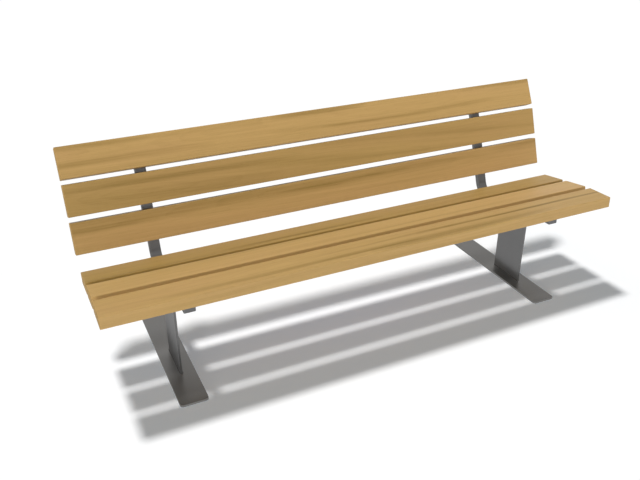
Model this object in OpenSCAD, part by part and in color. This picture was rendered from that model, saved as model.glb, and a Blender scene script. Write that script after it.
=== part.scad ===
// Outdoor bench: six timber boards screwed to two welded steel frames.
// Each frame is a flat foot, an upright leg plate and one bent flat bar that carries seat and back.
// X runs along the bench, its front faces -Y and +Z is up. Left is -X, as seen from the front.
// The origin is on the floor, under the middle of the bench.

/* [Boards] */
// Length of every board
board_l = 2000; // [1600:10:2400]
// Width of every board
board_w = 112; // [100:1:130]
// Thickness of every board
board_t = 43; // [36:1:50]
// Radius on the long edges of every board
board_edge_r = 3; // [1:0.5:5]
// Gap between two boards, measured on the bars
board_gap = 20; // [14:1:28]
// Gap under the top back board, measured on the bars
top_gap = 13.5; // [12:0.5:28]

/* [Bent bars] */
// Width of a bar
bar_w = 40; // [38:1:60]
// Thickness of a bar
bar_t = 20; // [12:1:25]
// Distance from a board's end to the centre line of the nearer bar
bar_from_end = 275; // [120:5:400]
// Radius on the long edges of a bar
bar_edge_r = 1.5; // [0.5:0.5:3]
// Radius of the two corners at each end of a bar, seen from above
bar_end_r = 5; // [2:1:12]
// Height at which the seat line and the back line of a bar meet
corner_h = 322.5; // [300:0.5:380]
// Inside radius of the bend between seat and back
main_bend_r = 45; // [30:1:60]
// Inside radius of the two slight bends
slight_bend_r = 60; // [20:1:70]
// Slope of the rear part of the seat, rising to the front
seat_rise = 9; // [4:0.5:14]
// Slope of the front part of the seat, rising to the front
front_rise = 2; // [0:0.5:4]
// Lean of the lower part of the back from upright
back_lean = 19.5; // [12:0.5:24]
// Lean of the upper part of the back from upright
top_lean = 27; // [24:0.5:32]
// Distance from the seat and back corner to the rear seat board
seat_start = 78; // [70:1:100]
// Distance from the seat and back corner to the lower back board
back_start = 79.5; // [70:0.5:100]
// How far a bar stops short of the front seat board's front face
bar_front_inset = 10; // [4:1:16]
// How far a bar stops short of the top back board's upper edge
bar_top_inset = 12; // [4:1:20]

/* [Legs] */
// Width of a leg plate, from front to back
leg_w = 160; // [120:1:170]
// Thickness of a leg plate
leg_t = 8; // [5:1:10]
// Distance from the seat and back corner forward to a leg plate's rear edge
leg_from_corner = 119; // [80:1:125]

/* [Feet] */
// Length of a foot plate, from front to back
foot_l = 600; // [500:5:640]
// Width of a foot plate
foot_w = 100; // [80:1:140]
// Thickness of a foot plate
foot_t = 8; // [6:1:15]
// Radius of a foot plate's corners
foot_corner_r = 12; // [4:1:30]
// How far a foot plate stays behind the front of the seat
foot_inset = 3; // [0:1:20]

/* [Welds] */
// Leg length of a fillet weld
weld_leg = 3; // [2:0.5:4]

/* [Screws] */
// Diameter of a coach screw's shank
screw_d = 8; // [6:1:8]
// How far a screw reaches into a board
screw_bite = 28; // [18:1:30]
// Length of a screw's point
screw_point = 6; // [4:1:10]
// Width across the flats of a screw's hexagon head
head_af = 13; // [12:0.5:14]
// Height of a screw's head
head_h = 5.5; // [4:0.5:7]
// Outside diameter of a washer
washer_d = 16; // [15:0.5:18]
// Thickness of a washer
washer_t = 1.6; // [1:0.1:2.5]
// Distance from a board's long edges to its screws
screw_inset = 28; // [26:1:34]
// Radial room round a screw in a bar
bar_hole_fit = 0.5; // [0.3:0.1:0.8]
// Radial room round a screw in a washer
washer_hole_fit = 0.2; // [0.1:0.1:0.4]
// Radial room round a screw in a board, and beyond its point
pilot_fit = 0.1; // [0.05:0.05:0.3]

/* [Hidden] */
$fn = 64;

timber = [0.75, 0.60, 0.38];
steel = [0.40, 0.40, 0.40];
zinc = [0.70, 0.71, 0.73];

// Everything in the side view is a point [y, z]. A bar's face line runs from the front end of the
// seat, back to the corner and up to the top of the back. A heading is the angle of that line,
// 0 towards the back and 90 straight up.
front_heading = -front_rise;
seat_heading = -seat_rise;
back_heading = 90 - back_lean;
top_heading = 90 - top_lean;

// Point at the distances [along, out] from a point of the face line: along the heading,
// and square to it, out towards the sitter
function step(from, heading, along, out = 0) = [
    from[0] + along * cos(heading) - out * sin(heading),
    from[1] + along * sin(heading) + out * cos(heading)
];

// The three places where the face line turns
pitch = board_w + board_gap;
seat_run = seat_start + 2 * pitch - board_gap / 2;
back_run = back_start + pitch + board_w + top_gap / 2;
corner = [0, corner_h];
seat_bend = step(corner, seat_heading, -seat_run);
back_bend = step(corner, back_heading, back_run);

// Lengths of the bar beyond the two slight bends
front_run = board_gap / 2 + board_w - bar_front_inset;
top_run = top_gap / 2 + board_w - bar_top_inset;

// Length that each bend takes from the straight stretches beside it
main_cut = main_bend_r * tan((back_heading - seat_heading) / 2);
seat_cut = (slight_bend_r + bar_t) * tan((front_heading - seat_heading) / 2);
back_cut = (slight_bend_r + bar_t) * tan((back_heading - top_heading) / 2);

// Where each board lies: its lower or rear edge on the face line, and its heading
seat_front = [step(seat_bend, front_heading, -board_gap / 2 - board_w), front_heading];
seat_middle = [step(corner, seat_heading, -seat_start - pitch - board_w), seat_heading];
seat_rear = [step(corner, seat_heading, -seat_start - board_w), seat_heading];
back_lower = [step(corner, back_heading, back_start), back_heading];
back_middle = [step(corner, back_heading, back_start + pitch), back_heading];
back_top = [step(back_bend, top_heading, top_gap / 2), top_heading];

// Places of the steel pieces along the bench
bar_x = board_l / 2 - bar_from_end;
leg_x = bar_x + (bar_w - leg_t) / 2;

// Front and rear of the bench from the corner, and the shift that puts the origin in the middle
edge_centre = step(seat_front[0], front_heading, board_edge_r, board_edge_r);
front_y = edge_centre[0] - board_edge_r;
foot_y = front_y + foot_inset;
top_head = step(back_top[0], top_heading, board_w - screw_inset + head_af / 2, -bar_t - washer_t - head_h);
bar_end_corner = step(back_bend, top_heading, top_run, -bar_t);
rear_y = max(top_head[0], bar_end_corner[0], foot_y + foot_l);
middle_y = (front_y + rear_y) / 2;

// Side view of a leg plate: its upper edge follows the underside of the bar
leg_rear_y = -leg_from_corner;
leg_front_y = leg_rear_y - leg_w;
function under_bar(y) = corner_h - y * tan(seat_rise) - bar_t / cos(seat_rise);

// A weld on a bar always stays this far from the nearest washer
weld_fit = 0.5;
washer_room = bar_w / 2 - leg_t - washer_d / 2;
weld = min(weld_leg, washer_room - weld_fit);

// A little extra length for a cut that goes right through
through = 1;

// Rectangle from the origin with round corners of radius r
module round_rect(size_x, size_y, r) {
    translate([r, 0])
        square([size_x - 2 * r, size_y]);
    translate([0, r])
        square([size_x, size_y - 2 * r]);
    for (x = [r, size_x - r], y = [r, size_y - r])
        translate([x, y])
            circle(r);
}

// Moves a piece made in the side view of the corner to its place in the bench
module in_place(x = 0) {
    translate([x, -middle_y, 0])
        children();
}

// Puts a piece on the face line: its Y runs along the heading and its Z out towards the sitter
module on_line(point, heading) {
    translate([0, point[0], point[1]])
        rotate([heading, 0, 0])
            children();
}

// Where a board's screws sit: at two distances from its edge, on both bars
module at_screws(place) {
    for (side = [-1, 1], along = [screw_inset, board_w - screw_inset])
        in_place(side * bar_x)
            on_line(place[0], place[1])
                translate([0, along, 0])
                    children();
}

// Solid board with its screw holes, drilled from the bar side
module board(place) {
    color(timber)
        difference() {
            in_place(-board_l / 2)
                on_line(place[0], place[1])
                    rotate([90, 0, 90])
                        linear_extrude(board_l)
                            round_rect(board_w, board_t, board_edge_r);
            at_screws(place)
                translate([0, 0, -through])
                    cylinder(h = screw_bite + pilot_fit + through, d = screw_d + 2 * pilot_fit);
        }
}

// Coach screw: its shank goes up through washer and bar into the board
module coach_screw() {
    shank_l = bar_t + washer_t + screw_bite - screw_point;
    translate([0, 0, -bar_t - washer_t]) {
        cylinder(h = shank_l, d = screw_d);
        translate([0, 0, shank_l])
            cylinder(h = screw_point, d1 = screw_d, d2 = 1);
        hexagon_head();
    }
}

// Hexagon head below z = 0, with its outer corners chamfered
module hexagon_head() {
    corner_d = head_af / cos(30);
    chamfer = (corner_d - head_af) / 2;
    translate([0, 0, -head_h])
        intersection() {
            cylinder(h = head_h, d = corner_d, $fn = 6);
            union() {
                cylinder(h = chamfer, d1 = head_af, d2 = corner_d);
                translate([0, 0, chamfer])
                    cylinder(h = head_h - chamfer, d = corner_d);
            }
        }
}

module washer() {
    translate([0, 0, -bar_t - washer_t])
        difference() {
            cylinder(h = washer_t, d = washer_d);
            translate([0, 0, -through])
                cylinder(h = washer_t + 2 * through, d = screw_d + 2 * washer_hole_fit);
        }
}

module screws(place) {
    color(zinc)
        at_screws(place)
            coach_screw();
}

module washers(place) {
    color(zinc)
        at_screws(place)
            washer();
}

// Straight stretch of bar of the given length, along +Y from the origin and below the face line
module bar_stretch(length) {
    translate([-bar_w / 2, length, -bar_t])
        rotate([90, 0, 0])
            linear_extrude(length)
                round_rect(bar_w, bar_t, bar_edge_r);
}

// End stretch of bar, whose corners at y = 0 are round when seen from above
module bar_end(length) {
    intersection() {
        bar_stretch(length);
        translate([-bar_w / 2, 0, -bar_t - through])
            linear_extrude(bar_t + 2 * through)
                round_rect(bar_w, length + bar_end_r + through, bar_end_r);
    }
}

// Bend of a bar about the X axis, from heading start to heading finish. The face line's radius is
// face_r, and the bar lies outside it when the bend closes on the sitter and inside it otherwise.
module bar_bend(start, finish, face_r) {
    closing = finish > start;
    rotate([closing ? start - 90 : finish + 90, 0, 0])
        rotate([90, 0, 90])
            rotate_extrude(angle = abs(finish - start))
                translate([closing ? face_r : face_r - bar_t, -bar_w / 2])
                    round_rect(bar_t, bar_w, bar_edge_r);
}

// Bent flat bar in the side view of the corner, with its screw holes
module bent_bar() {
    seat_length = seat_run - main_cut - seat_cut;
    back_length = back_run - main_cut - back_cut;
    main_start = step(corner, seat_heading, -main_cut);
    seat_turn = step(seat_bend, seat_heading, seat_cut);
    back_turn = step(back_bend, back_heading, -back_cut);
    slight_r = slight_bend_r + bar_t;

    on_line(step(seat_bend, front_heading, -front_run), front_heading)
        bar_end(front_run - seat_cut);
    on_line(step(seat_turn, seat_heading, 0, -slight_r), 0)
        bar_bend(front_heading, seat_heading, slight_r);
    on_line(seat_turn, seat_heading)
        bar_stretch(seat_length);
    on_line(step(main_start, seat_heading, 0, main_bend_r), 0)
        bar_bend(seat_heading, back_heading, main_bend_r);
    on_line(step(corner, back_heading, main_cut), back_heading)
        bar_stretch(back_length);
    on_line(step(back_turn, back_heading, 0, -slight_r), 0)
        bar_bend(back_heading, top_heading, slight_r);
    on_line(step(back_bend, top_heading, top_run), top_heading)
        mirror([0, 1, 0])
            bar_end(top_run - back_cut);
}

module bar(side) {
    color(steel)
        difference() {
            in_place(side * bar_x)
                bent_bar();
            for (place = [seat_front, seat_middle, seat_rear, back_lower, back_middle, back_top])
                at_screws(place)
                    translate([0, 0, -bar_t - through])
                        cylinder(h = bar_t + 2 * through, d = screw_d + 2 * bar_hole_fit);
        }
}

// Upright plate from the foot to the underside of the bar, flush with the bar's outer side
module leg(side) {
    color(steel)
        in_place(side * leg_x - leg_t / 2)
            rotate([90, 0, 90])
                linear_extrude(leg_t)
                    polygon([
                        [leg_front_y, foot_t],
                        [leg_rear_y, foot_t],
                        [leg_rear_y, under_bar(leg_rear_y)],
                        [leg_front_y, under_bar(leg_front_y)]
                    ]);
}

module foot(side) {
    color(steel)
        in_place(side * leg_x - foot_w / 2)
            translate([0, foot_y, 0])
                linear_extrude(foot_t)
                    round_rect(foot_w, foot_l, foot_corner_r);
}

// Two fillet welds where the leg plate stands on the foot
module foot_weld(side) {
    color(steel)
        for (face = [-1, 1])
            in_place(side * leg_x + face * leg_t / 2)
                translate([0, leg_rear_y, foot_t])
                    rotate([90, 0, 0])
                        linear_extrude(leg_w)
                            polygon([[0, 0], [face * weld, 0], [0, weld]]);
}

// Fillet weld in the corner between the leg plate's inner face and the bar
module bar_weld(side) {
    color(steel)
        in_place(side * (leg_x - leg_t / 2))
            on_line([leg_rear_y, under_bar(leg_rear_y)], seat_heading)
                rotate([90, 0, 0])
                    linear_extrude(leg_w / cos(seat_rise))
                        polygon([[0, 0], [-side * weld, 0], [0, -weld]]);
}

board(seat_front);  // seat_board_front
board(seat_middle);  // seat_board_middle
board(seat_rear);  // seat_board_rear
board(back_lower);  // back_board_lower
board(back_middle);  // back_board_middle
board(back_top);  // back_board_top
bar(-1);  // bar_left
bar(1);  // bar_right
leg(-1);  // leg_left
leg(1);  // leg_right
foot(-1);  // foot_left
foot(1);  // foot_right
foot_weld(-1);  // foot_weld_left
foot_weld(1);  // foot_weld_right
bar_weld(-1);  // bar_weld_left
bar_weld(1);  // bar_weld_right
screws(seat_front);  // screws_seat_front
screws(seat_middle);  // screws_seat_middle
screws(seat_rear);  // screws_seat_rear
screws(back_lower);  // screws_back_lower
screws(back_middle);  // screws_back_middle
screws(back_top);  // screws_back_top
washers(seat_front);  // washers_seat_front
washers(seat_middle);  // washers_seat_middle
washers(seat_rear);  // washers_seat_rear
washers(back_lower);  // washers_back_lower
washers(back_middle);  // washers_back_middle
washers(back_top);  // washers_back_top
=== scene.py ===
"""Outdoor bench: the looks of its boards, steel frames, screws and washers, on the packed CAD frame."""
import math
import random
from collections import namedtuple

import bpy
from mathutils import Matrix, Vector


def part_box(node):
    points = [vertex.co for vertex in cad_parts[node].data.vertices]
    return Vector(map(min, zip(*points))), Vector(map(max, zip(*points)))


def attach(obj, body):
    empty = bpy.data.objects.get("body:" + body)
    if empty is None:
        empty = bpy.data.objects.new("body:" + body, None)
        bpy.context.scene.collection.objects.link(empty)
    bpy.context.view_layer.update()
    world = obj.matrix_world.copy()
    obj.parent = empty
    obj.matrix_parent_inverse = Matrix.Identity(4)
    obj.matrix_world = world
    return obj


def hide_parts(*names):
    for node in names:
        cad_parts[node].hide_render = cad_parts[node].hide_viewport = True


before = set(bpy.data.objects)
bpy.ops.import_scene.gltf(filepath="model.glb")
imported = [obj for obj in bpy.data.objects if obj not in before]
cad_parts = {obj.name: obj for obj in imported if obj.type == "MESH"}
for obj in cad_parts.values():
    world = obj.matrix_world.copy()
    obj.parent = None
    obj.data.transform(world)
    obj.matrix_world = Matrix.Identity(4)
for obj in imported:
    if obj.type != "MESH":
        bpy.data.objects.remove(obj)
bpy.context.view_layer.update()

bl_info = {
    "name": "Outdoor Bench",
    "version": (1, 0, 0),
    "blender": (4, 5, 0),
    "location": "3D View > Sidebar > Bench",
    "description": "Timber bench on two bent steel bars, with its studio floor, lights and camera",
    "category": "Add Mesh",
}

# Left is towards -X, and the sitter faces -Y.
SIDES = ("left", "right")

# A streak, in millimetres from its board's middle: along it, then across it towards the rear or the top.
Streak = namedtuple("Streak", "along across half_length half_width slope strength")
# The pith is in metres from the board's middle: across it, then out of its face.
Board = namedtuple("Board", "node heading pith seed tone drift shear streaks")
BOARDS = (
    Board("back_board_top", "top", (0.030, -0.085), 11, (0.887, 0.882, 0.909), 0.04, -0.006, (
        (-900, 46, 230, 9, -0.010, 0.36),
        (-10, 48, 210, 9, 0.004, 0.48),
        (900, 47, 280, 9, 0.006, 0.31),
        (-800, -11, 360, 10, -0.008, 0.34),
        (255, -18, 280, 7, -0.020, 0.46),
        (-60, -12, 180, 7, -0.020, 0.20),
        (590, -12, 220, 8, 0.008, 0.32),
    )),
    Board("back_board_middle", "back", (-0.015, -0.100), 23, (0.771, 0.768, 0.729), 0.13, -0.050, (
        (-640, 29, 540, 10, -0.018, 0.37),
        (-780, 26, 240, 6, -0.018, 0.22),
        (-600, -26, 400, 22, -0.020, 0.22),
        (-30, -12, 280, 10, -0.060, 0.20),
        (700, 4, 320, 10, -0.055, 0.20),
        (300, -34, 420, 9, -0.030, 0.17),
    )),
    Board("back_board_lower", "back", (0.022, -0.110), 37, (0.870, 0.851, 0.870), 0.11, -0.008, (
        (-150, 38, 1600, 24, -0.003, 0.42),
        (-900, 24, 230, 8, -0.006, 0.26),
        (50, 28, 300, 9, 0.004, 0.29),
        (480, 33, 240, 8, 0.006, 0.15),
        (950, 40, 210, 12, 0.000, 0.29),
        (350, -22, 480, 6, -0.020, 0.10),
    )),
    Board("seat_board_rear", "seat", (-0.030, -0.095), 41, (0.774, 0.774, 0.694), 0.04, 0.004, (
        (-200, -31, 330, 8, 0.006, 0.56),
        (-700, -50, 420, 9, 0.004, 0.38),
        (560, 20, 420, 8, 0.010, 0.18),
    )),
    Board("seat_board_middle", "seat", (0.018, -0.120), 53, (1.030, 1.046, 1.128), 0.02, 0.006, (
        (-450, 44, 460, 9, 0.006, 0.20),
        (250, -20, 460, 7, 0.010, 0.14),
    )),
    Board("seat_board_front", "front", (-0.008, -0.105), 67, (0.940, 0.948, 1.002), -0.02, 0.004, (
        (690, 8, 560, 7, -0.006, 1.00),
        (0, 11, 360, 6, 0.000, 0.36),
        (-330, -28, 480, 8, 0.004, 0.42),
        (-60, -31, 200, 6, 0.000, 0.24),
        (330, -40, 410, 16, 0.002, 0.60),
        (-420, -70, 420, 7, 0.008, 0.15),
        (150, -82, 380, 6, -0.012, 0.13),
        (760, -74, 320, 8, -0.010, 0.12),
    )),
)
# How far apart the boards' grains are taken from the noise, in metres for each step of the seed.
SEED_STEP = (1.37, 0.61, 0.29)

# The dust and the scratches on the coating, and the white bloom on the zinc.
BLACK = (0.0, 0.0, 0.0)
DUST = (0.24, 0.225, 0.20)
SCRATCH = (0.30, 0.30, 0.30)
BLOOM = (0.62, 0.62, 0.60)

# How far, in metres, a piece's box may be from the box of the solids that it stands for.
TOLERANCE = 0.0012
# Points on each bend of a bar and on each rounded long edge, and round a screw's shank.
BEND_POINTS = 14
EDGE_POINTS = 5
ROUND_POINTS = 24
# Each screw's head is turned at random, up to this many radians either way.
SCREW_SEED = 5
SCREW_SPIN = 0.5

# The floor shows the shadow within this half length and half depth, and fades to white farther out.
SHADOW_ZONE = (1.15, 0.45)
FLOOR_DROP = 0.0004
# The directions in which the light of two far lamps travels, and how many of their lengths off they hang.
FAR_OFF = 4
LOW_TRAVEL = Vector((0.55, 0.83, -0.06))
FILL_TRAVEL = Vector((0.397, 0.852, -0.342))


def colour(name, description, default):
    """A colour property."""
    return bpy.props.FloatVectorProperty(
        name=name, description=description, default=default, size=3, min=0.0, max=1.0, subtype="COLOR")


def place(name, description, default):
    """A place property, in metres."""
    return bpy.props.FloatVectorProperty(
        name=name, description=description, default=default, size=3, unit="LENGTH", subtype="TRANSLATION")


def length(name, description, default):
    """A length property, in metres."""
    return bpy.props.FloatProperty(
        name=name, description=description, default=default, min=0.0, precision=4, unit="LENGTH",
        subtype="DISTANCE")


def angle(name, description, degrees):
    """An angle property."""
    return bpy.props.FloatProperty(
        name=name, description=description, default=math.radians(degrees), unit="ROTATION", subtype="ANGLE")


def amount(name, description, default):
    """A plain number property."""
    return bpy.props.FloatProperty(name=name, description=description, default=default, min=0.0, precision=3)


class BenchTimber(bpy.types.PropertyGroup):
    """Sizes and colours of the six boards."""
    width: length("Board width", "Width of a board", 0.112)
    thickness: length("Board thickness", "Thickness of a board", 0.043)
    edge_radius: length("Edge radius", "Rounding of a board's long edges", 0.003)
    end_ease: length("End ease", "Rounding of a board's end edges", 0.002)
    ring_spacing: length("Ring spacing", "Distance between growth rings", 0.0036)
    light: colour("Pale wood", "Colour of the pale early wood", (0.532, 0.340, 0.1225))
    dark: colour("Dark wood", "Colour of the dark streaks", (0.240, 0.150, 0.034))
    rosy: colour("Rosy wood", "Colour of the rosier patches", (0.543, 0.333, 0.133))
    end_grain: colour("End grain", "Colour of the sawn ends", (0.400, 0.252, 0.090))


class BenchSteel(bpy.types.PropertyGroup):
    """Sizes, tilts and colour of the coated steel frames."""
    bar_width: length("Bar width", "Width of a bent bar", 0.040)
    bar_thickness: length("Bar thickness", "Thickness of a bent bar", 0.020)
    bar_edge: length("Bar edge", "Rounding of a bar's long edges", 0.0015)
    bar_corner: length("Bar corner", "Rounding of a bar's end corners", 0.005)
    main_bend: length("Main bend", "Inner radius of the bend between seat and back", 0.045)
    slight_bend: length("Slight bend", "Inner radius of the two slight bends", 0.060)
    front_inset: length("Front inset", "From the front board's front edge to the bar's end", 0.010)
    top_inset: length("Top inset", "From the top board's upper edge to the bar's end", 0.012)
    front_rise: angle("Front rise", "Rise of the front board towards the front", 2.0)
    seat_rise: angle("Seat rise", "Rise of the seat towards the front", 9.0)
    back_lean: angle("Back lean", "Lean of the back from upright", 19.5)
    top_lean: angle("Top lean", "Lean of the top board from upright", 27.0)
    plate_edge: length("Plate edge", "Rounding of the plates' cut edges", 0.0008)
    foot_corner: length("Foot corner", "Rounding of a foot plate's corners", 0.012)
    weld_leg: length("Weld leg", "Leg length of a fillet weld", 0.003)
    weld_ripple: length("Weld ripple", "Distance between the ripples of a weld", 0.0024)
    coating: colour("Coating", "Colour of the steel's grey coating", (0.139, 0.1395, 0.1405))


class BenchFixings(bpy.types.PropertyGroup):
    """Sizes and colour of the coach screws and washers."""
    shank: length("Shank", "Diameter of a coach screw", 0.008)
    bite: length("Bite", "How far a screw goes into its board", 0.028)
    plain: length("Plain shank", "How much of the bite has no thread", 0.004)
    point: length("Point", "Length of a screw's point", 0.006)
    thread: length("Thread", "Pitch of the thread", 0.0030)
    head: length("Head", "Hexagon head, across its flats", 0.013)
    head_height: length("Head height", "Height of the hexagon head", 0.0055)
    inset: length("Inset", "From a board's edge to the middle of a screw", 0.028)
    washer: length("Washer", "Outer diameter of a washer", 0.016)
    washer_thickness: length("Washer thickness", "Thickness of a washer", 0.0016)
    washer_fit: length("Washer fit", "How much wider a washer's hole is than the screw", 0.0004)
    zinc: colour("Zinc", "Colour of the zinc plating", (0.520, 0.530, 0.550))


class BenchStage(bpy.types.PropertyGroup):
    """The studio floor, the lights and the camera."""
    floor_size: length("Floor size", "Side of the square floor", 60.0)
    floor: colour("Floor", "Colour with which the floor lights the bench", (0.80, 0.80, 0.80))
    floor_shown: colour("Shown floor", "Colour of the floor as the camera sees it", (0.983, 0.983, 0.983))
    lift_beneath: colour("Lift beneath", "Light added to the floor beneath the bench", (0.0, 0.030, 0.078))
    lift_around: colour("Lift around", "Light added to the floor round the bench", (0.020, 0.040, 0.055))
    floor_far: amount("Far floor", "Light added to the floor away from the bench", 0.06)
    key: amount("Key light", "Strength of the high light from behind, on a face turned to it", 2.30)
    key_place: place("Key place", "Place of the high light", (-5.56, 6.50, 29.0))
    key_size: length("Key size", "Diameter of the high light", 3.4)
    front: amount("Front light", "Strength of the low light from the front, on a face turned to it", 1.21)
    front_spread: angle("Front spread", "Apparent size of the low light", 12.0)
    fill: amount("Fill light", "Strength of the shadowless light, on a face turned to it", 1.29)
    fill_spread: angle("Fill spread", "Apparent size of the fill light", 30.0)
    around: amount("Around light", "Strength of the even light from all around", 0.130)
    lens: amount("Lens", "Focal length on a 36 mm wide sensor", 40.15)
    camera: place("Camera", "Place of the camera", (-1.1471, -2.1704, 1.6074))
    camera_turn: angle("Camera turn", "Turn of the camera from straight at the back towards +X", 25.04)
    camera_dip: angle("Camera dip", "How far the camera looks down", 27.968)
    camera_roll: angle("Camera roll", "Roll of the camera", -0.109)


class Value:
    """An output socket that flows through sums as a number or a vector does."""

    def __init__(self, tree, socket):
        self.tree = tree
        self.socket = socket

    def out(self, name):
        """Another output of the same node."""
        return Value(self.tree, self.socket.node.outputs[name])

    def __add__(self, other):
        return self.tree.math("ADD", self, other)

    def __radd__(self, other):
        return self.tree.math("ADD", other, self)

    def __sub__(self, other):
        return self.tree.math("SUBTRACT", self, other)

    def __rsub__(self, other):
        return self.tree.math("SUBTRACT", other, self)

    def __mul__(self, other):
        return self.tree.math("MULTIPLY", self, other)

    def __rmul__(self, other):
        return self.tree.math("MULTIPLY", other, self)

    def __truediv__(self, other):
        return self.tree.math("DIVIDE", self, other)

    def __pow__(self, other):
        return self.tree.math("POWER", self, other)

    def __neg__(self):
        return self.tree.math("MULTIPLY", self, -1.0)


class Tree:
    """A node tree, and the one way in which nodes are added to it."""

    def __init__(self, tree):
        self.tree = tree

    def add(self, kind, settings=None, inputs=None, output=None):
        """Adds a node: its settings first, then the values or links of its sockets."""
        node = self.tree.nodes.new(kind)
        count = len(self.tree.nodes)
        node.location = (220 * (count // 6), -240 * (count % 6))
        for name, setting in (settings or {}).items():
            setattr(node, name, setting)
        for name, value in (inputs or {}).items():
            self.feed(node, name, value)
        return Value(self, next(one for one in node.outputs if one.enabled and output in (None, one.name)))

    def feed(self, node, name, value):
        """Sets or links one input, named among the inputs that the node shows, or numbered."""
        if isinstance(name, int):
            socket = node.inputs[name]
        else:
            socket = next(one for one in node.inputs if one.name == name and one.enabled)
        for one in value if isinstance(value, list) else [value]:
            if isinstance(one, Value):
                self.tree.links.new(one.socket, socket)
            elif socket.type == "RGBA" and len(one) == 3:
                socket.default_value = (*one, 1.0)
            else:
                socket.default_value = one

    def math(self, operation, *terms):
        """A sum: on vectors where a term is one, else on numbers."""
        kinds = {term.socket.type if isinstance(term, Value) else type(term) for term in terms}
        if kinds & {"VECTOR", "RGBA", tuple, Vector}:
            return self.vector(operation, dict(enumerate(terms)))
        return self.add("ShaderNodeMath", {"operation": operation}, dict(enumerate(terms)))

    def vector(self, operation, inputs, output=None):
        """A Vector Math node."""
        return self.add("ShaderNodeVectorMath", {"operation": operation}, inputs, output)

    def scaled(self, vector, scale):
        """A vector times a number, which may vary."""
        return self.vector("SCALE", {"Vector": vector, "Scale": scale})

    def least(self, *terms):
        """The smaller of two."""
        return self.math("MINIMUM", *terms)

    def most(self, *terms):
        """The larger of two."""
        return self.math("MAXIMUM", *terms)

    def size(self, value):
        """A number without its sign."""
        return self.math("ABSOLUTE", value)

    def held(self, value):
        """A number kept between 0 and 1."""
        return self.add("ShaderNodeClamp", inputs={"Value": value})

    def step(self, value, low, high):
        """0 below low, 1 above high, with a smooth change between them."""
        return self.add(
            "ShaderNodeMapRange", {"interpolation_type": "SMOOTHSTEP"},
            {"Value": value, "From Min": low, "From Max": high, "To Min": 0.0, "To Max": 1.0})

    def mix(self, factor, first, second, blend="MIX"):
        """Two colours mixed."""
        return self.add(
            "ShaderNodeMix", {"data_type": "RGBA", "blend_type": blend},
            {"Factor": factor, "A": first, "B": second})

    def noise(self, vector, scale=1.0, detail=2.0, roughness=0.5, output=None):
        """Soft noise, from 0 to 1 about 0.5."""
        return self.add("ShaderNodeTexNoise", inputs={
            "Vector": vector, "Scale": scale, "Detail": detail, "Roughness": roughness}, output=output)

    def parts(self, vector):
        """The three numbers of a vector."""
        split = self.add("ShaderNodeSeparateXYZ", inputs={"Vector": vector})
        return split.out("X"), split.out("Y"), split.out("Z")

    def join(self, x, y, z):
        """A vector of three numbers."""
        return self.add("ShaderNodeCombineXYZ", inputs={"X": x, "Y": y, "Z": z})


class Surface(Tree):
    """A material, with its Principled shader."""

    def __init__(self, name, plain, roughness, metallic=0.0, specular=0.5, edge=(1.0, 1.0, 1.0)):
        self.material = bpy.data.materials.new(name)
        self.material.use_nodes = True
        self.material.diffuse_color = (*plain, 1.0)
        self.material.roughness = roughness
        self.material.metallic = metallic
        super().__init__(self.material.node_tree)
        self.shader = self.tree.nodes["Principled BSDF"]
        self.feed(self.shader, "Metallic", metallic)
        self.feed(self.shader, "Specular IOR Level", specular)
        self.feed(self.shader, "Specular Tint", edge)
        self.place = self.add("ShaderNodeTexCoord", output="Object")

    def finish(self, tint, roughness, height, strength=1.0):
        """Feeds the shader: colour, roughness, and relief whose height is in metres."""
        relief = self.add("ShaderNodeBump", inputs={"Strength": strength, "Distance": 1.0, "Height": height})
        self.feed(self.shader, "Base Color", tint)
        self.feed(self.shader, "Roughness", self.held(roughness))
        self.feed(self.shader, "Normal", relief)
        return self.material


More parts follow.
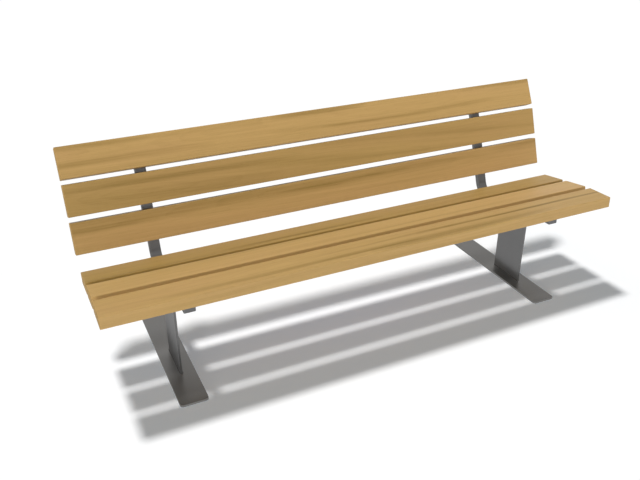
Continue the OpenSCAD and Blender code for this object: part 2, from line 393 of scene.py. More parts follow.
class Shape(Tree):
    """A Geometry Nodes tree with named inputs."""

    def __init__(self, name):
        super().__init__(bpy.data.node_groups.new(name, "GeometryNodeTree"))
        self.tree.is_modifier = True
        self.entry = self.tree.nodes.new("NodeGroupInput")

    def inputs(self, *names):
        """Named inputs of the tree: numbers, but for those of another kind."""
        kinds = {"Path": "Geometry", "Points": "Geometry", "Across": "Vector", "Material": "Material"}
        for name in names:
            kind = "NodeSocket" + kinds.get(name, "Float")
            self.tree.interface.new_socket(name, in_out="INPUT", socket_type=kind)
        return [Value(self, self.entry.outputs[name]) for name in names]

    def keep(self, geometry, name, value, kind="FLOAT"):
        """Stores a value on the points, under a name."""
        return self.add(
            "GeometryNodeStoreNamedAttribute", {"data_type": kind, "domain": "POINT"},
            {"Geometry": geometry, "Name": name, "Value": value})

    def kept(self, name, kind="FLOAT"):
        """Reads a stored value."""
        return self.add("GeometryNodeInputNamedAttribute", {"data_type": kind}, {"Name": name}, "Attribute")

    def measured(self, line, sideways):
        """The curve turned to a side, with each point's distances from its two ends stored."""
        line = self.add("GeometryNodeSetCurveNormal", {"mode": "FREE"}, {"Curve": line, "Normal": sideways})
        run = self.add("GeometryNodeSplineParameter", output="Length")
        rest = self.add("GeometryNodeSplineLength", output="Length") - run
        return self.keep(self.keep(line, "path_run", run), "path_rest", rest)

    def from_end(self):
        """The stored distance to the nearer end."""
        return self.least(self.kept("path_run"), self.kept("path_rest"))

    def rounded(self, curve, radius, count):
        """The curve with its corners rounded, with a number of points at each."""
        return self.add(
            "GeometryNodeFilletCurve", {"mode": "POLY"}, {"Curve": curve, "Radius": radius, "Count": count})

    def rectangle(self, width, height, radius, count):
        """A rectangle with rounded corners."""
        sharp = self.add("GeometryNodeCurvePrimitiveQuadrilateral", inputs={"Width": width, "Height": height})
        return self.rounded(sharp, radius, count)

    def circle(self, points, radius):
        """A circle as a curve."""
        return self.add(
            "GeometryNodeCurvePrimitiveCircle", {"mode": "RADIUS"}, {"Resolution": points, "Radius": radius})

    def swept(self, line, section, caps=True):
        """A section swept along a curve."""
        return self.add(
            "GeometryNodeCurveToMesh", inputs={"Curve": line, "Profile Curve": section, "Fill Caps": caps})

    def shifted(self, geometry, y=0.0, z=0.0):
        """The geometry moved as a whole."""
        return self.add(
            "GeometryNodeTransform", inputs={"Geometry": geometry, "Translation": self.join(0.0, y, z)})

    def cylinder(self, points, radius, depth, z=0.0):
        """An upright cylinder, with its middle at a height."""
        solid = self.add(
            "GeometryNodeMeshCylinder", inputs={"Vertices": points, "Radius": radius, "Depth": depth})
        return self.shifted(solid, z=z)

    def cone(self, points, bottom, top, depth, z):
        """An upright cone, standing at a height."""
        solid = self.add("GeometryNodeMeshCone", inputs={
            "Vertices": points, "Radius Top": top, "Radius Bottom": bottom, "Depth": depth})
        return self.shifted(solid, z=z)

    def on_points(self, points, solid):
        """The solid on every point, turned as the point says."""
        turn = self.add(
            "FunctionNodeEulerToRotation", inputs={"Euler": self.kept("path_turn", "FLOAT_VECTOR")})
        return self.add(
            "GeometryNodeInstanceOnPoints", inputs={"Points": points, "Instance": solid, "Rotation": turn})

    def finish(self, geometry, material, crease=None):
        """Ends the tree: instances made real, stored values out, smooth but for creases, material set."""
        geometry = self.add("GeometryNodeRealizeInstances", inputs={"Geometry": geometry})
        geometry = self.add(
            "GeometryNodeRemoveAttribute", {"pattern_mode": "WILDCARD"},
            {"Geometry": geometry, "Name": "path_*"})
        geometry = self.add("GeometryNodeSetShadeSmooth", inputs={"Geometry": geometry, "Shade Smooth": True})
        if crease is not None:
            turn = self.add("GeometryNodeInputMeshEdgeAngle", output="Unsigned Angle")
            sharp = self.math("GREATER_THAN", turn, crease)
            geometry = self.add(
                "GeometryNodeSetShadeSmooth", {"domain": "EDGE"},
                {"Geometry": geometry, "Selection": sharp, "Shade Smooth": False})
        geometry = self.add("GeometryNodeSetMaterial", inputs={"Geometry": geometry, "Material": material})
        self.tree.interface.new_socket("Geometry", in_out="OUTPUT", socket_type="NodeSocketGeometry")
        self.feed(self.tree.nodes.new("NodeGroupOutput"), 0, geometry)
        return self.tree


def ahead(heading):
    """The direction that rises at a heading, in the plane across the bench."""
    return Vector((0.0, math.cos(heading), math.sin(heading)))


def facing(heading):
    """The direction in which a board at a heading faces."""
    return Vector((0.0, -math.sin(heading), math.cos(heading)))


def middle(node):
    """The middle of a CAD node's box."""
    low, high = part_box(node)
    return (low + high) / 2


def headings():
    """The headings of the bar's four stretches, from front to top."""
    steel = bpy.context.scene.bench_steel
    return {
        "front": -steel.front_rise,
        "seat": -steel.seat_rise,
        "back": math.pi / 2 - steel.back_lean,
        "top": math.pi / 2 - steel.top_lean,
    }


def crossing(start, first, other, second):
    """Where the line through start at one heading meets the line through other at a second heading."""
    gap = other - start
    one = ahead(first)
    two = ahead(second)
    run = (gap.y * two.z - gap.z * two.y) / (one.y * two.z - one.z * two.y)
    return start + one * run


def rounding(*radii):
    """Distances from an end at which its roundings need points, six for each quarter turn."""
    places = {0.0}
    for radius in radii:
        places.update(round(radius * (1 - math.cos(math.pi / 12 * turn)), 6) for turn in range(1, 7))
    return sorted(places)


def path_mesh(name, corners, bends, radii):
    """A path through the corners, with points for the rounding of its two ends."""
    first = (corners[1] - corners[0]).normalized()
    last = (corners[-2] - corners[-1]).normalized()
    head = [corners[0] + first * run for run in rounding(*radii)]
    tail = [corners[-1] + last * run for run in reversed(rounding(*radii))]
    points = head + list(corners[1:-1]) + tail
    mesh = bpy.data.meshes.new(name)
    mesh.from_pydata(points, [(point, point + 1) for point in range(len(points) - 1)], [])
    values = [0.0] * len(head) + list(bends) + [0.0] * len(tail)
    mesh.attributes.new("path_bend", "FLOAT", "POINT").data.foreach_set("value", values)
    return mesh


def grown(name, mesh, tree, sizes, even=True):
    """Runs a Geometry Nodes tree on a mesh and keeps what comes out as the piece's plain mesh."""
    piece = bpy.data.objects.new(name, mesh)
    bpy.context.scene.collection.objects.link(piece)
    nodes = piece.modifiers.new("Shape", "NODES")
    nodes.node_group = tree
    for item in tree.interface.items_tree:
        if item.in_out == "INPUT" and item.name in sizes:
            nodes[item.identifier] = sizes[item.name]
    if even:
        piece.modifiers.new("Even normals", "WEIGHTED_NORMAL").keep_sharp = True
    graph = bpy.context.evaluated_depsgraph_get()
    made = bpy.data.meshes.new_from_object(
        piece.evaluated_get(graph), preserve_all_data_layers=True, depsgraph=graph)
    if not made.polygons:
        raise RuntimeError(name + " came out empty")
    made.name = name
    piece.modifiers.clear()
    piece.data = made
    bpy.data.meshes.remove(mesh)
    return piece


def settle(piece, slot, *nodes):
    """Checks a piece against the CAD nodes that it stands for, and puts it in their place."""
    boxes = [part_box(node) for node in nodes]
    for axis in range(3):
        reach = [vertex.co[axis] for vertex in piece.data.vertices]
        low = min(box[0][axis] for box in boxes)
        high = max(box[1][axis] for box in boxes)
        wrong = max(abs(min(reach) - low), abs(max(reach) - high))
        if wrong > TOLERANCE:
            raise RuntimeError(f"{piece.name} is {wrong * 1000:.2f} mm off its place along axis {axis}")
    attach(piece, "root")
    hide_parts(*nodes)


def stock_piece(tree, slot, node, corners, radii, sizes, bends=()):
    """Sweeps a board, bar or plate through its corners, and puts it in its node's place."""
    sizes = {"Face Offset": 0.0, "Corner Radius": 0.0, "End Ease": 0.0, "End Slope": 0.0, **sizes}
    path = path_mesh(node, corners, bends, radii)
    settle(grown(slot + "_" + node, path, tree, sizes), slot, node)


def flat_stock():
    """A board, bar or plate: a rounded section swept along a path, with bends, round corners, eased ends."""
    shape = Shape("Flat Stock")
    path, width, thickness, face_offset, across, edge, corner, ease, slope, material = shape.inputs(
        "Path", "Width", "Thickness", "Face Offset", "Across", "Edge Radius", "Corner Radius", "End Ease",
        "End Slope", "Material")
    line = shape.add("GeometryNodeMeshToCurve", inputs={"Mesh": path})
    line = shape.measured(shape.rounded(line, shape.kept("path_bend"), BEND_POINTS), across)
    line = shape.keep(line, "path_along", shape.add("GeometryNodeInputTangent"), "FLOAT_VECTOR")
    section = shape.rectangle(width, thickness, edge, EDGE_POINTS)
    section = shape.keep(section, "path_section", shape.add("GeometryNodeInputPosition"), "FLOAT_VECTOR")
    solid = shape.swept(line, shape.shifted(section, y=face_offset))

    along = shape.kept("path_along", "FLOAT_VECTOR")
    below = shape.vector("CROSS_PRODUCT", {0: along, 1: across})
    side, face, _ = shape.parts(shape.kept("path_section", "FLOAT_VECTOR"))
    near = shape.from_end()

    def pulled_in(radius):
        """How far the end's rounding is inside the full size at this distance from the end."""
        short = radius - shape.least(near, radius)
        return radius - shape.math("SQRT", radius * radius - short * short)

    far_end = shape.math("LESS_THAN", shape.kept("path_rest"), shape.kept("path_run"))
    offset = shape.scaled(across, -shape.math("SIGN", side) * pulled_in(corner))
    offset = offset + shape.scaled(below, -shape.math("SIGN", face) * pulled_in(ease))
    offset = offset + shape.scaled(along, side * slope * far_end)
    solid = shape.add("GeometryNodeSetPosition", inputs={"Geometry": solid, "Offset": offset})
    return shape.finish(solid, material)


def weld_bead():
    """A fillet weld: a bulged three-cornered section with the ripples that the welder's puddle leaves."""
    shape = Shape("Weld Bead")
    path, leg, ripple, seed, material = shape.inputs("Path", "Leg", "Ripple", "Seed", "Material")
    line = shape.add("GeometryNodeMeshToCurve", inputs={"Mesh": path})
    line = shape.add("GeometryNodeResampleCurve", {"mode": "LENGTH"}, {"Curve": line, "Length": ripple / 5})
    line = shape.measured(line, shape.kept("path_side", "FLOAT_VECTOR"))
    line = shape.keep(line, "path_middle", shape.add("GeometryNodeInputPosition"), "FLOAT_VECTOR")

    arc = shape.add("GeometryNodeCurveArc", {"mode": "RADIUS"}, {
        "Resolution": 9, "Radius": 1.0, "Start Angle": 0.0, "Sweep Angle": math.pi / 2,
        "Connect Center": True})
    turn = shape.add("GeometryNodeInputPosition")
    x, y, _ = shape.parts(turn)
    bulge = (1 + 0.22 * shape.math("SINE", 2 * shape.math("ARCTAN2", y, x))) / shape.most(x + y, 0.05)
    arc = shape.keep(arc, "path_bow", x * y)
    arc = shape.add(
        "GeometryNodeSetPosition", inputs={"Geometry": arc, "Position": shape.scaled(turn, leg * bulge)})
    bead = shape.swept(line, arc)

    centre = shape.kept("path_middle", "FLOAT_VECTOR")
    reach = shape.add("GeometryNodeInputPosition") - centre
    wave = shape.noise(centre + shape.join(seed, seed, seed), 160.0)
    phase = shape.kept("path_run") / ripple + 1.1 * shape.kept("path_bow") + 0.8 * wave
    crest = 1 - shape.math("FRACT", phase) ** 2.2
    lumps = shape.noise(centre + shape.join(0.0, seed, 0.0), 70.0, 1.0)
    taper = shape.math("SQRT", shape.least(shape.from_end() / (leg * 0.8), 1.0))
    scale = (0.80 + 0.08 * crest + 0.12 * lumps) * shape.most(taper, 0.15)
    bead = shape.add(
        "GeometryNodeSetPosition", inputs={"Geometry": bead, "Position": centre + shape.scaled(reach, scale)})
    bead = shape.add("GeometryNodeMergeByDistance", inputs={"Geometry": bead, "Distance": 0.00001})
    return shape.finish(bead, material)


def coach_screws():
    """Coach screws on points: a chamfered hexagon head, a shank, a thread and a point, along their turns."""
    shape = Shape("Coach Screws")
    points, shank, depth, point, pitch, thread_length, head, head_height, washer, material = shape.inputs(
        "Points", "Shank", "Depth", "Point", "Thread Pitch", "Thread Length", "Head", "Head Height",
        "Washer Thickness", "Material")

    # The head's chamfer is cut by a cone that widens at 60 degrees and reaches past the head at both ends.
    steep, under, over = 1.732, 0.001, 0.002
    flat = head * 0.468
    prism = shape.cylinder(6, head / (2 * math.cos(math.pi / 6)), head_height)
    cutter = shape.cone(
        48, flat - under * steep, flat + (head_height + over) * steep, head_height + (under + over),
        -under - head_height / 2)
    prism = shape.add("GeometryNodeMeshBoolean", {"operation": "INTERSECT", "solver": "EXACT"}, {
        "Mesh": [prism, cutter]}, "Mesh")
    prism = shape.shifted(prism, z=-washer - head_height / 2)

    threaded = thread_length - point
    root_radius = shank * 0.38
    overlap = 0.0005
    bare = depth - thread_length
    core = shape.cylinder(ROUND_POINTS, shank * 0.5, bare + washer, (bare - washer) / 2)
    root = shape.cylinder(ROUND_POINTS, root_radius, threaded, depth - (thread_length + point) / 2)
    tip = shape.cone(ROUND_POINTS, shank * 0.375, 0.0, point + overlap, depth - point - overlap)
    helix = shape.add("GeometryNodeCurveSpiral", inputs={
        "Resolution": ROUND_POINTS, "Rotations": threaded / pitch, "Start Radius": root_radius,
        "End Radius": root_radius, "Height": threaded, "Reverse": True})
    helix = shape.add("GeometryNodeSetCurveNormal", {"mode": "Z_UP"}, {"Curve": helix})
    helix = shape.shifted(shape.swept(helix, shape.circle(3, shank * 0.12)), z=bare)
    whole = shape.add("GeometryNodeJoinGeometry", inputs={"Geometry": [prism, core, root, tip, helix]})
    return shape.finish(shape.on_points(points, whole), material, crease=math.radians(28))


def flat_washers():
    """Flat washers on points: an eased section swept round a circle."""
    shape = Shape("Flat Washers")
    points, outer, hole, thickness, material = shape.inputs(
        "Points", "Outer", "Hole", "Thickness", "Material")
    ring = shape.circle(40, (outer + hole) / 4)
    ring = shape.add("GeometryNodeSetCurveNormal", {"mode": "Z_UP"}, {"Curve": ring})
    section = shape.rectangle((outer - hole) / 2, thickness, thickness * 0.16, 2)
    solid = shape.shifted(shape.swept(ring, section, caps=False), z=thickness * -0.5)
    return shape.finish(shape.on_points(points, solid), material)


def timber_surface(board, centre, heading):
    """Oiled pale timber: warped growth rings, fibres, pores, darker streaks, sawn ends, and rounded edges
    rubbed smooth and carrying painted shade.
    """
    timber = bpy.context.scene.bench_timber
    wood = Surface("timber_" + board.node, timber.light, 0.5, specular=0.24)
    local = wood.add(
        "ShaderNodeMapping", {"vector_type": "TEXTURE"},
        {"Vector": wood.place, "Location": centre, "Rotation": (heading, 0.0, 0.0)})
    x, y, z = wood.parts(local)
    shifted = wood.join(x, y - x * board.shear, z) + tuple(board.seed * step for step in SEED_STEP)

    def grain(along, across, detail=2.0, roughness=0.5, output=None):
        """Noise that runs along the grain, with this many waves per metre along it and across it."""
        stretched = wood.math("MULTIPLY", shifted, (along, across, across))
        return wood.noise(stretched, 1.0, detail, roughness, output)

    wander_x, wander_y, wander_z = wood.parts(grain(0.9, 4.0, output="Color"))
    from_pith_y = y - board.pith[0] + (wander_y - 0.5) * 0.060
    from_pith_z = z - board.pith[1] + (wander_z - 0.5) * 0.050
    radius = wood.math("SQRT", from_pith_y * from_pith_y + from_pith_z * from_pith_z)
    rings = radius / timber.ring_spacing + (grain(5.0, 60.0) - 0.5) * 0.55
    phase = wood.math("FRACT", rings)
    each = wood.add("ShaderNodeTexWhiteNoise", {"noise_dimensions": "1D"}, {"W": rings - phase}, "Value")
    late_wood = phase ** 2.6 * (1 - wood.step(phase, 0.93, 1.0)) * (0.45 + 0.75 * each)

    bands = grain(0.55, 22.0, 3.0, 0.55) - 0.5
    lines = grain(2.2, 160.0, 3.0, 0.6) - 0.5
    fibres = grain(14.0, 900.0, 2.0, 0.6) - 0.5
    wisps = grain(2.6, 34.0, 3.0, 0.55) - 0.5
    pores = wood.step(grain(38.0, 1500.0, 1.0), 0.66, 0.76)
    rosiness = wood.held((grain(1.6, 9.0) - 0.42) * 2.2)

    bend = (wander_x - 0.5) * 0.020 + wisps * 0.012
    spread = 0.70 + 0.60 * wander_z
    depth = 0.8 * (timber.thickness / 2 - z)

    def mask(streak):
        """How far a streak darkens the wood."""
        from_middle = x - streak.along / 1000
        run = from_middle / (streak.half_length / 1000)
        off = y - streak.across / 1000 - from_middle * streak.slope + bend
        off = wood.size(off - depth) / (spread * (streak.half_width / 1000))
        return streak.strength * wood.most(1 - run * run, 0.0) ** 0.7 * wood.math("EXPONENT", -(off ** 3.0))

    streaks = sum(mask(Streak(*numbers)) for numbers in board.streaks)
    streaks = streaks * (0.88 + 0.80 * lines) * (1.0 + 1.10 * wisps)
    darkness = streaks + bands * 0.56 + lines * 0.34 + fibres * 0.36
    darkness = darkness + 0.10 + late_wood * 0.11 + pores * 0.30 - x * board.drift
    tint = wood.mix(rosiness, timber.light, timber.rosy)
    tint = wood.mix(wood.held(darkness), tint, timber.dark)
    tint = wood.mix(1.0, tint, board.tone, "MULTIPLY")

    low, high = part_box(board.node)
    half_length = (high.x - low.x) / 2
    end = wood.step(wood.size(x), half_length - 0.0022, half_length - 0.0008)
    end_tint = wood.mix(wood.held(late_wood * 0.9 + fibres * 0.3), timber.end_grain, timber.dark)
    tint = wood.mix(end, tint, end_tint)

    by_side = wood.size(y) - (timber.width / 2 - timber.edge_radius)
    by_face = wood.size(z) - (timber.thickness / 2 - timber.edge_radius)
    arris_polish_and_shade = wood.step(wood.least(by_side, by_face) + lines * 0.0016, 0.0, timber.edge_radius * 0.55)
    # Painted shade: the rounded long edges are darkened a little, which tones down their highlight; their
    # smoother roughness is rubbed wear.
    tint = wood.mix(arris_polish_and_shade * 0.14, tint, timber.dark)

    roughness = 0.47 + bands * 0.16 + fibres * 0.16 + pores * 0.12 + end * 0.22 - arris_polish_and_shade * 0.06
    height = late_wood * 0.00009 + fibres * 0.00010 + lines * 0.00012 - pores * 0.00010
    return wood.finish(tint, roughness, height, 0.7)


def coated_steel(name, gloss=0.31, painted_light=1.0):
    """Grey satin coating: faint orange peel, soft mottling, fine scratches, dust near the ground, and a
    factor of painted light.
    """
    steel = bpy.context.scene.bench_steel
    coat = Surface(name, steel.coating, 0.28, 0.78, edge=(0.62, 0.62, 0.62))
    _, _, z = coat.parts(coat.place)
    peel = coat.noise(coat.place, 900.0) - 0.5
    mottle = coat.noise(coat.place, 9.0, 4.0, 0.6) - 0.5
    specks = coat.noise(coat.place, 260.0, 3.0, 0.6) - 0.5
    scratch = coat.noise(coat.math("MULTIPLY", coat.place, (38.0, 420.0, 160.0)))
    scratch = coat.step(scratch, 0.70, 0.76)
    dust = 1 - coat.step(z + mottle * 0.05, 0.0, 0.060)
    bright = 0.94 + mottle * 0.14 + specks * 0.09
    tint = coat.mix(coat.held(bright), BLACK, tuple(min(1.0, part * 1.15) for part in steel.coating))
    tint = coat.mix(coat.held(dust * (0.275 + 0.35 * specks)), tint, DUST)
    tint = coat.mix(coat.held(scratch * 0.35), tint, SCRATCH)
    # Painted light: the factor below makes a lighter or darker copy of the same coating for one group of
    # pieces.
    tint = coat.mix(1.0, tint, (painted_light, painted_light, painted_light), "MULTIPLY")
    roughness = gloss + mottle * 0.08 + specks * 0.05 + dust * 0.04 - scratch * 0.05
    height = peel * 0.00012 + mottle * 0.00016 - scratch * 0.00002
    return coat.finish(tint, roughness, height, 0.6)


def zinc_plate():
    """Bright zinc plating: a fine crystal pattern, dull patches and a little white bloom."""
    fixings = bpy.context.scene.bench_fixings
    zinc = Surface("fastener_zinc", fixings.zinc, 0.36, 1.0)
    crystals = zinc.add(
        "ShaderNodeTexVoronoi", {"feature": "F1"}, {"Vector": zinc.place, "Scale": 900.0}, "Color")
    crystal = zinc.parts(crystals)[0] - 0.5
    dull = zinc.noise(zinc.place, 190.0, 3.0, 0.6)
    turned = zinc.noise(zinc.place, 2600.0) - 0.5
    bloom = zinc.step(dull, 0.58, 0.74)
    bright = 0.88 + crystal * 0.14 + (dull - 0.5) * 0.24
    tint = zinc.mix(bloom * 0.45, zinc.mix(zinc.held(bright), BLACK, fixings.zinc), BLOOM)
    roughness = 0.32 + crystal * 0.10 + bloom * 0.25
    height = turned * 0.00002 + (dull - 0.5) * 0.00004
    return zinc.finish(tint, roughness, height, 0.5)


class BENCH_OT_boards(bpy.types.Operator):
    """Makes the six timber boards, each with its own grain"""
    bl_idname = "bench.boards"
    bl_label = "Boards"

    def execute(self, context):
        timber = context.scene.bench_timber
        tree = flat_stock()
        for board in BOARDS:
            centre = middle(board.node)
            heading = headings()[board.heading]
            ends = [Vector((end.x, centre.y, centre.z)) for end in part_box(board.node)]
            stock_piece(tree, "timber", board.node, ends, (timber.end_ease,), {
                "Width": timber.width, "Thickness": timber.thickness, "Across": ahead(heading),
                "Edge Radius": timber.edge_radius, "Corner Radius": timber.end_ease,
                "End Ease": timber.end_ease, "Material": timber_surface(board, centre, heading)})
        return {"FINISHED"}


class BENCH_OT_bars(bpy.types.Operator):
    """Makes the two bent bars that carry the boards"""
    bl_idname = "bench.bars"
    bl_label = "Bent bars"

    def execute(self, context):
        steel = context.scene.bench_steel
        line = self.line(context.scene.bench_timber, steel)
        wide_bend = steel.slight_bend + steel.bar_thickness
        tree = flat_stock()
        # The bars' coating is made 1.05 times as light as the feet's: painted light.
        material = coated_steel("steel_bars", 0.46, 1.05)
        for side in SIDES:
            node = "bar_" + side
            corners = [Vector((middle(node).x, corner.y, corner.z)) for corner in line]
            stock_piece(tree, "steel", node, corners, (steel.bar_corner, steel.bar_edge), {
                "Width": steel.bar_width, "Thickness": steel.bar_thickness, "Across": (1.0, 0.0, 0.0),
                "Face Offset": steel.bar_thickness / 2, "Edge Radius": steel.bar_edge,
                "Corner Radius": steel.bar_corner, "End Ease": steel.bar_edge, "Material": material,
            }, bends=(wide_bend, steel.main_bend, wide_bend))
        return {"FINISHED"}

    def line(self, timber, steel):
        """The two ends and three corners of the line on the bars' face that the boards lie on."""
        turn = headings()
        backs = {}
        for board in BOARDS:
            backs[board.heading] = middle(board.node) - facing(turn[board.heading]) * timber.thickness / 2
        seat_bend = crossing(backs["front"], turn["front"], backs["seat"], turn["seat"])
        corner = crossing(seat_bend, turn["seat"], backs["back"], turn["back"])
        back_bend = crossing(corner, turn["back"], backs["top"], turn["top"])
        start = backs["front"] - ahead(turn["front"]) * (timber.width / 2 - steel.front_inset)
        finish = backs["top"] + ahead(turn["top"]) * (timber.width / 2 - steel.top_inset)
        return start, seat_bend, corner, back_bend, finish


class BENCH_OT_legs(bpy.types.Operator):
    """Makes the two upright leg plates, cut on top to the slope of the bars"""
    bl_idname = "bench.legs"
    bl_label = "Legs"

    def execute(self, context):
        steel = context.scene.bench_steel
        tree = flat_stock()
        # The legs' coating is made 1.07 times as light as the feet's: painted light.
        material = coated_steel("steel_legs", 0.31, 1.07)
        slope = math.tan(steel.seat_rise)
        for side in SIDES:
            node = "leg_" + side
            low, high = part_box(node)
            centre = middle(node)
            width = high.y - low.y
            ends = [Vector((centre.x, centre.y, height)) for height in (low.z, high.z - slope * width / 2)]
            stock_piece(tree, "steel", node, ends, (steel.plate_edge,), {
                "Width": width, "Thickness": high.x - low.x, "Across": (0.0, 1.0, 0.0),
                "Edge Radius": steel.plate_edge, "End Slope": -slope, "Material": material})
        return {"FINISHED"}


class BENCH_OT_feet(bpy.types.Operator):
    """Makes the two flat foot plates with rounded corners"""
    bl_idname = "bench.feet"
    bl_label = "Feet"

    def execute(self, context):
        steel = context.scene.bench_steel
        tree = flat_stock()
        material = coated_steel("steel_feet")
        for side in SIDES:
            node = "foot_" + side
            low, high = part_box(node)
            centre = middle(node)
            ends = [Vector((centre.x, end, centre.z)) for end in (low.y, high.y)]
            stock_piece(tree, "steel", node, ends, (steel.foot_corner, steel.plate_edge), {
                "Width": high.x - low.x, "Thickness": high.z - low.z, "Across": (1.0, 0.0, 0.0),
                "Edge Radius": steel.plate_edge, "Corner Radius": steel.foot_corner,
                "End Ease": steel.plate_edge, "Material": material})
        return {"FINISHED"}


class BENCH_OT_welds(bpy.types.Operator):
    """Lays the weld beads along each leg, at its foot and under its bar"""
    bl_idname = "bench.welds"
    bl_label = "Welds"

    def execute(self, context):
        tree = weld_bead()
        # The welds' coating is darkened to 0.4 of the feet's: painted shade, which stands for the dark
        # corners round the legs and hides the welds' highlight.
        material = coated_steel("steel_welds", 0.46, 0.4)
        heading = headings()["seat"]
        for count, side in enumerate(SIDES):
            low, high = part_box("leg_" + side)
            front, rear = low.y, high.y
            runs = []
            for face, way in ((low.x, -1.0), (high.x, 1.0)):
                ends = (rear, front) if way > 0 else (front, rear)
                runs.append(([Vector((face, end, low.z)) for end in ends], way))
            self.lay(tree, material, "foot_weld_" + side, runs, 3 * count + 1)
            inner, way = (high.x, 1.0) if side == "left" else (low.x, -1.0)
            top = Vector((inner, front, high.z))
            bottom = top + ahead(heading) * ((rear - front) / math.cos(heading))
            ends = [top, bottom] if way > 0 else [bottom, top]
            self.lay(tree, material, "bar_weld_" + side, [(ends, way)], 3 * count + 2)
        return {"FINISHED"}

    def lay(self, tree, material, node, runs, seed):
        """One node's beads; a run is its two ends and the side of the leg that it lies on."""
        steel = bpy.context.scene.bench_steel
        points = [end for ends, _ in runs for end in ends]
        mesh = bpy.data.meshes.new(node)
        mesh.from_pydata(points, [(2 * run, 2 * run + 1) for run in range(len(runs))], [])
        sides = [part for _, way in runs for part in (way, 0.0, 0.0) * 2]
        mesh.attributes.new("path_side", "FLOAT_VECTOR", "POINT").data.foreach_set("vector", sides)
        piece = grown("steel_" + node, mesh, tree, {
            "Leg": steel.weld_leg, "Ripple": steel.weld_ripple, "Seed": float(seed), "Material": material,
        }, even=False)
        settle(piece, "steel", node)


def screw_points(name, seed=None):
    """A mesh of the 24 screw places on the bars' underside, each with its turn."""
    scene = bpy.context.scene
    below = scene.bench_timber.thickness / 2 + scene.bench_steel.bar_thickness
    aside = scene.bench_timber.width / 2 - scene.bench_fixings.inset
    chance = random.Random(seed)
    points = []
    turns = []
    for board in BOARDS:
        heading = headings()[board.heading]
        under = middle(board.node) - facing(heading) * below
        for side in SIDES:
            for way in (-1, 1):
                spot = under + ahead(heading) * (way * aside)
                points.append((middle("bar_" + side).x, spot.y, spot.z))
                spin = 0.0 if seed is None else chance.uniform(-SCREW_SPIN, SCREW_SPIN)
                turn = Matrix.Rotation(heading, 3, "X") @ Matrix.Rotation(spin, 3, "Z")
                turns.extend(turn.to_euler())
    mesh = bpy.data.meshes.new(name)
    mesh.from_pydata(points, [], [])
    mesh.attributes.new("path_turn", "FLOAT_VECTOR", "POINT").data.foreach_set("vector", turns)
    return mesh


def nodes_named(start):
    """The CAD nodes whose names start like this."""
    return [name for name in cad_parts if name.startswith(start)]


class BENCH_OT_screws(bpy.types.Operator):
    """Drives the coach screws up through the bars into the boards"""
    bl_idname = "bench.screws"
    bl_label = "Coach screws"

    def execute(self, context):
        steel = context.scene.bench_steel
        fixings = context.scene.bench_fixings
        piece = grown("fastener_screws", screw_points("screws", SCREW_SEED), coach_screws(), {
            "Shank": fixings.shank, "Depth": steel.bar_thickness + fixings.bite, "Point": fixings.point,
            "Thread Pitch": fixings.thread, "Thread Length": fixings.bite - fixings.plain,
            "Head": fixings.head, "Head Height": fixings.head_height,
            "Washer Thickness": fixings.washer_thickness, "Material": zinc_plate()})
        settle(piece, "fastener", *nodes_named("screws_"))
        return {"FINISHED"}


class BENCH_OT_washers(bpy.types.Operator):
    """Puts a flat washer under each screw head"""
    bl_idname = "bench.washers"
    bl_label = "Washers"

    def execute(self, context):
        fixings = context.scene.bench_fixings
        piece = grown("fastener_washers", screw_points("washers"), flat_washers(), {
            "Outer": fixings.washer, "Hole": fixings.shank + fixings.washer_fit,
            "Thickness": fixings.washer_thickness, "Material": bpy.data.materials["fastener_zinc"]})
        settle(piece, "fastener", *nodes_named("washers_"))
        return {"FINISHED"}


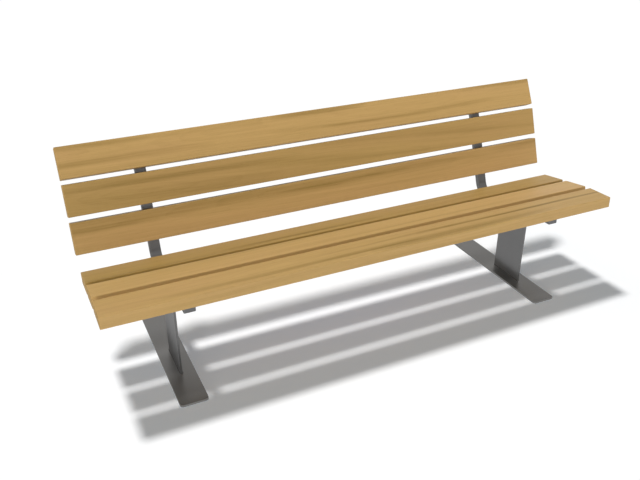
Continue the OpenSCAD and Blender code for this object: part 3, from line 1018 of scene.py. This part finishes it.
class BENCH_OT_stage(bpy.types.Operator):
    """Sets the studio: pale floor, high light from behind, low light from the front, even light and camera"""
    bl_idname = "bench.stage"
    bl_label = "Stage"

    def execute(self, context):
        stage = context.scene.bench_stage
        half = stage.floor_size / 2
        mesh = bpy.data.meshes.new("floor")
        corners = [(x * half, y * half, -FLOOR_DROP) for x, y in ((-1, -1), (1, -1), (1, 1), (-1, 1))]
        mesh.from_pydata(corners, [], [(0, 1, 2, 3)])
        floor = bpy.data.objects.new("floor", mesh)
        context.scene.collection.objects.link(floor)
        mesh.materials.append(self.floor_surface(stage))

        # The high light casts the bench's shadow towards the camera.
        spot = Vector(stage.key_place)
        high = self.lamp("high_light", "AREA", stage.key * math.pi * spot.length_squared, spot, -spot)
        high.data.shape = "DISK"
        high.data.size = stage.key_size
        high.visible_glossy = False
        low = self.lamp("low_light", "SUN", stage.front, LOW_TRAVEL * -FAR_OFF, LOW_TRAVEL)
        low.data.angle = stage.front_spread
        fill = self.lamp("fill_light", "SUN", stage.fill, FILL_TRAVEL * -FAR_OFF, FILL_TRAVEL)
        fill.data.angle = stage.fill_spread
        fill.data.use_shadow = False
        fill.visible_glossy = False
        self.surroundings(context.scene, stage)
        self.camera(context.scene, stage)
        return {"FINISHED"}

    def floor_surface(self, stage):
        """A matt floor, seen as white with the bench's shadow on it from above, and not seen from beneath."""
        material = bpy.data.materials.new("floor")
        material.use_nodes = True
        tree = Tree(material.node_tree)
        tree.tree.nodes.remove(tree.tree.nodes["Principled BSDF"])

        def matt(tint):
            return tree.add("ShaderNodeBsdfDiffuse", inputs={"Color": tint})

        def glowing(tint, strength=1.0):
            return tree.add("ShaderNodeEmission", inputs={"Color": tint, "Strength": strength})

        def chosen(factor, first, second):
            return tree.add("ShaderNodeMixShader", inputs={0: factor, 1: first, 2: second})

        x, y, _ = tree.parts(tree.add("ShaderNodeTexCoord", output="Object"))
        past_ends = tree.most(tree.size(x) - SHADOW_ZONE[0], 0.0)
        past_sides = tree.most(tree.size(y) - SHADOW_ZONE[1], 0.0)
        beyond = tree.vector("LENGTH", {0: tree.join(past_ends, past_sides, 0.0)}, "Value")
        away = tree.step(beyond, 0.0, 0.30) * stage.floor_far
        # A soft oval, 0.74 m by 0.23 m to each side of its middle, which is 60 mm in front of the origin.
        behind = y + 0.06
        beneath = tree.math("EXPONENT", -(x * x / 0.55 + behind * behind / 0.054))
        lift = tree.mix(beneath, stage.lift_around, stage.lift_beneath) + tree.join(away, away, away)
        shown = tree.add("ShaderNodeAddShader", inputs={0: matt(stage.floor_shown), 1: glowing(lift)})
        plain_white = glowing((1.0, 1.0, 1.0), 1.02)
        shown = chosen(tree.step(beyond, 0.05, 0.45), shown, plain_white)
        mirrored = glowing((0.95, 0.95, 0.95))
        path = tree.add("ShaderNodeLightPath", output="Is Camera Ray")
        whole = chosen(path, matt(stage.floor), shown)
        whole = chosen(path.out("Is Glossy Ray"), whole, mirrored)
        from_below = tree.add("ShaderNodeNewGeometry", output="Backfacing")
        whole = chosen(from_below, whole, tree.add("ShaderNodeBsdfTransparent"))
        tree.feed(tree.tree.nodes["Material Output"], "Surface", whole)
        return material

    def lamp(self, name, kind, strength, spot, travel):
        """A lamp in its place, shining along its travel."""
        data = bpy.data.lights.new(name, kind)
        data.energy = strength
        lamp = bpy.data.objects.new(name, data)
        lamp.rotation_euler = travel.to_track_quat("-Z", "Y").to_euler()
        lamp.location = spot
        bpy.context.scene.collection.objects.link(lamp)
        return lamp

    def surroundings(self, scene, stage):
        """Even light from all around, which the camera and reflections see as white."""
        world = bpy.data.worlds.new("surroundings")
        world.use_nodes = True
        tree = Tree(world.node_tree)
        path = tree.add("ShaderNodeLightPath", output="Is Camera Ray")
        seen = tree.most(tree.most(path, path.out("Is Glossy Ray")), path.out("Is Transmission Ray"))
        strength = stage.around + seen * (1.0 - stage.around)
        tree.feed(tree.tree.nodes["Background"], "Color", (1.0, 1.0, 1.0))
        tree.feed(tree.tree.nodes["Background"], "Strength", strength)
        scene.world = world

    def camera(self, scene, stage):
        """The camera at the photograph's angle."""
        data = bpy.data.cameras.new("camera")
        data.sensor_width = 36.0
        data.lens = stage.lens
        data.clip_end = 200.0
        camera = bpy.data.objects.new("camera", data)
        turn = Matrix.Rotation(-stage.camera_turn, 4, "Z")
        dip = Matrix.Rotation(math.pi / 2 - stage.camera_dip, 4, "X")
        roll = Matrix.Rotation(stage.camera_roll, 4, "Z")
        camera.matrix_world = Matrix.Translation(stage.camera) @ turn @ dip @ roll
        scene.collection.objects.link(camera)
        scene.camera = camera
        scene.view_settings.view_transform = "Standard"


class BENCH_PT_sidebar(bpy.types.Panel):
    """Lists the bench's sizes, its pieces and its stage"""
    bl_label = "Outdoor Bench"
    bl_idname = "BENCH_PT_sidebar"
    bl_space_type = "VIEW_3D"
    bl_region_type = "UI"
    bl_category = "Bench"

    def draw(self, context):
        for group in PROPERTY_GROUPS:
            settings = getattr(context.scene, group)
            box = self.layout.box()
            box.label(text=PROPERTY_GROUPS[group].__doc__)
            for name in settings.__annotations__:
                box.prop(settings, name)
        for operator in OPERATORS:
            self.layout.operator(operator.bl_idname)


PROPERTY_GROUPS = {
    "bench_timber": BenchTimber,
    "bench_steel": BenchSteel,
    "bench_fixings": BenchFixings,
    "bench_stage": BenchStage,
}
OPERATORS = (
    BENCH_OT_boards,
    BENCH_OT_bars,
    BENCH_OT_legs,
    BENCH_OT_feet,
    BENCH_OT_welds,
    BENCH_OT_screws,
    BENCH_OT_washers,
    BENCH_OT_stage,
)


def register():
    for name, group in PROPERTY_GROUPS.items():
        bpy.utils.register_class(group)
        setattr(bpy.types.Scene, name, bpy.props.PointerProperty(type=group))
    for operator in OPERATORS:
        bpy.utils.register_class(operator)
    bpy.utils.register_class(BENCH_PT_sidebar)


def unregister():
    bpy.utils.unregister_class(BENCH_PT_sidebar)
    for operator in reversed(OPERATORS):
        bpy.utils.unregister_class(operator)
    for name, group in PROPERTY_GROUPS.items():
        delattr(bpy.types.Scene, name)
        bpy.utils.unregister_class(group)


def main():
    """Makes the whole bench and its stage."""
    register()
    bpy.ops.bench.boards()
    bpy.ops.bench.bars()
    bpy.ops.bench.legs()
    bpy.ops.bench.feet()
    bpy.ops.bench.welds()
    bpy.ops.bench.screws()
    bpy.ops.bench.washers()
    bpy.ops.bench.stage()


if __name__ == "__main__":
    main()
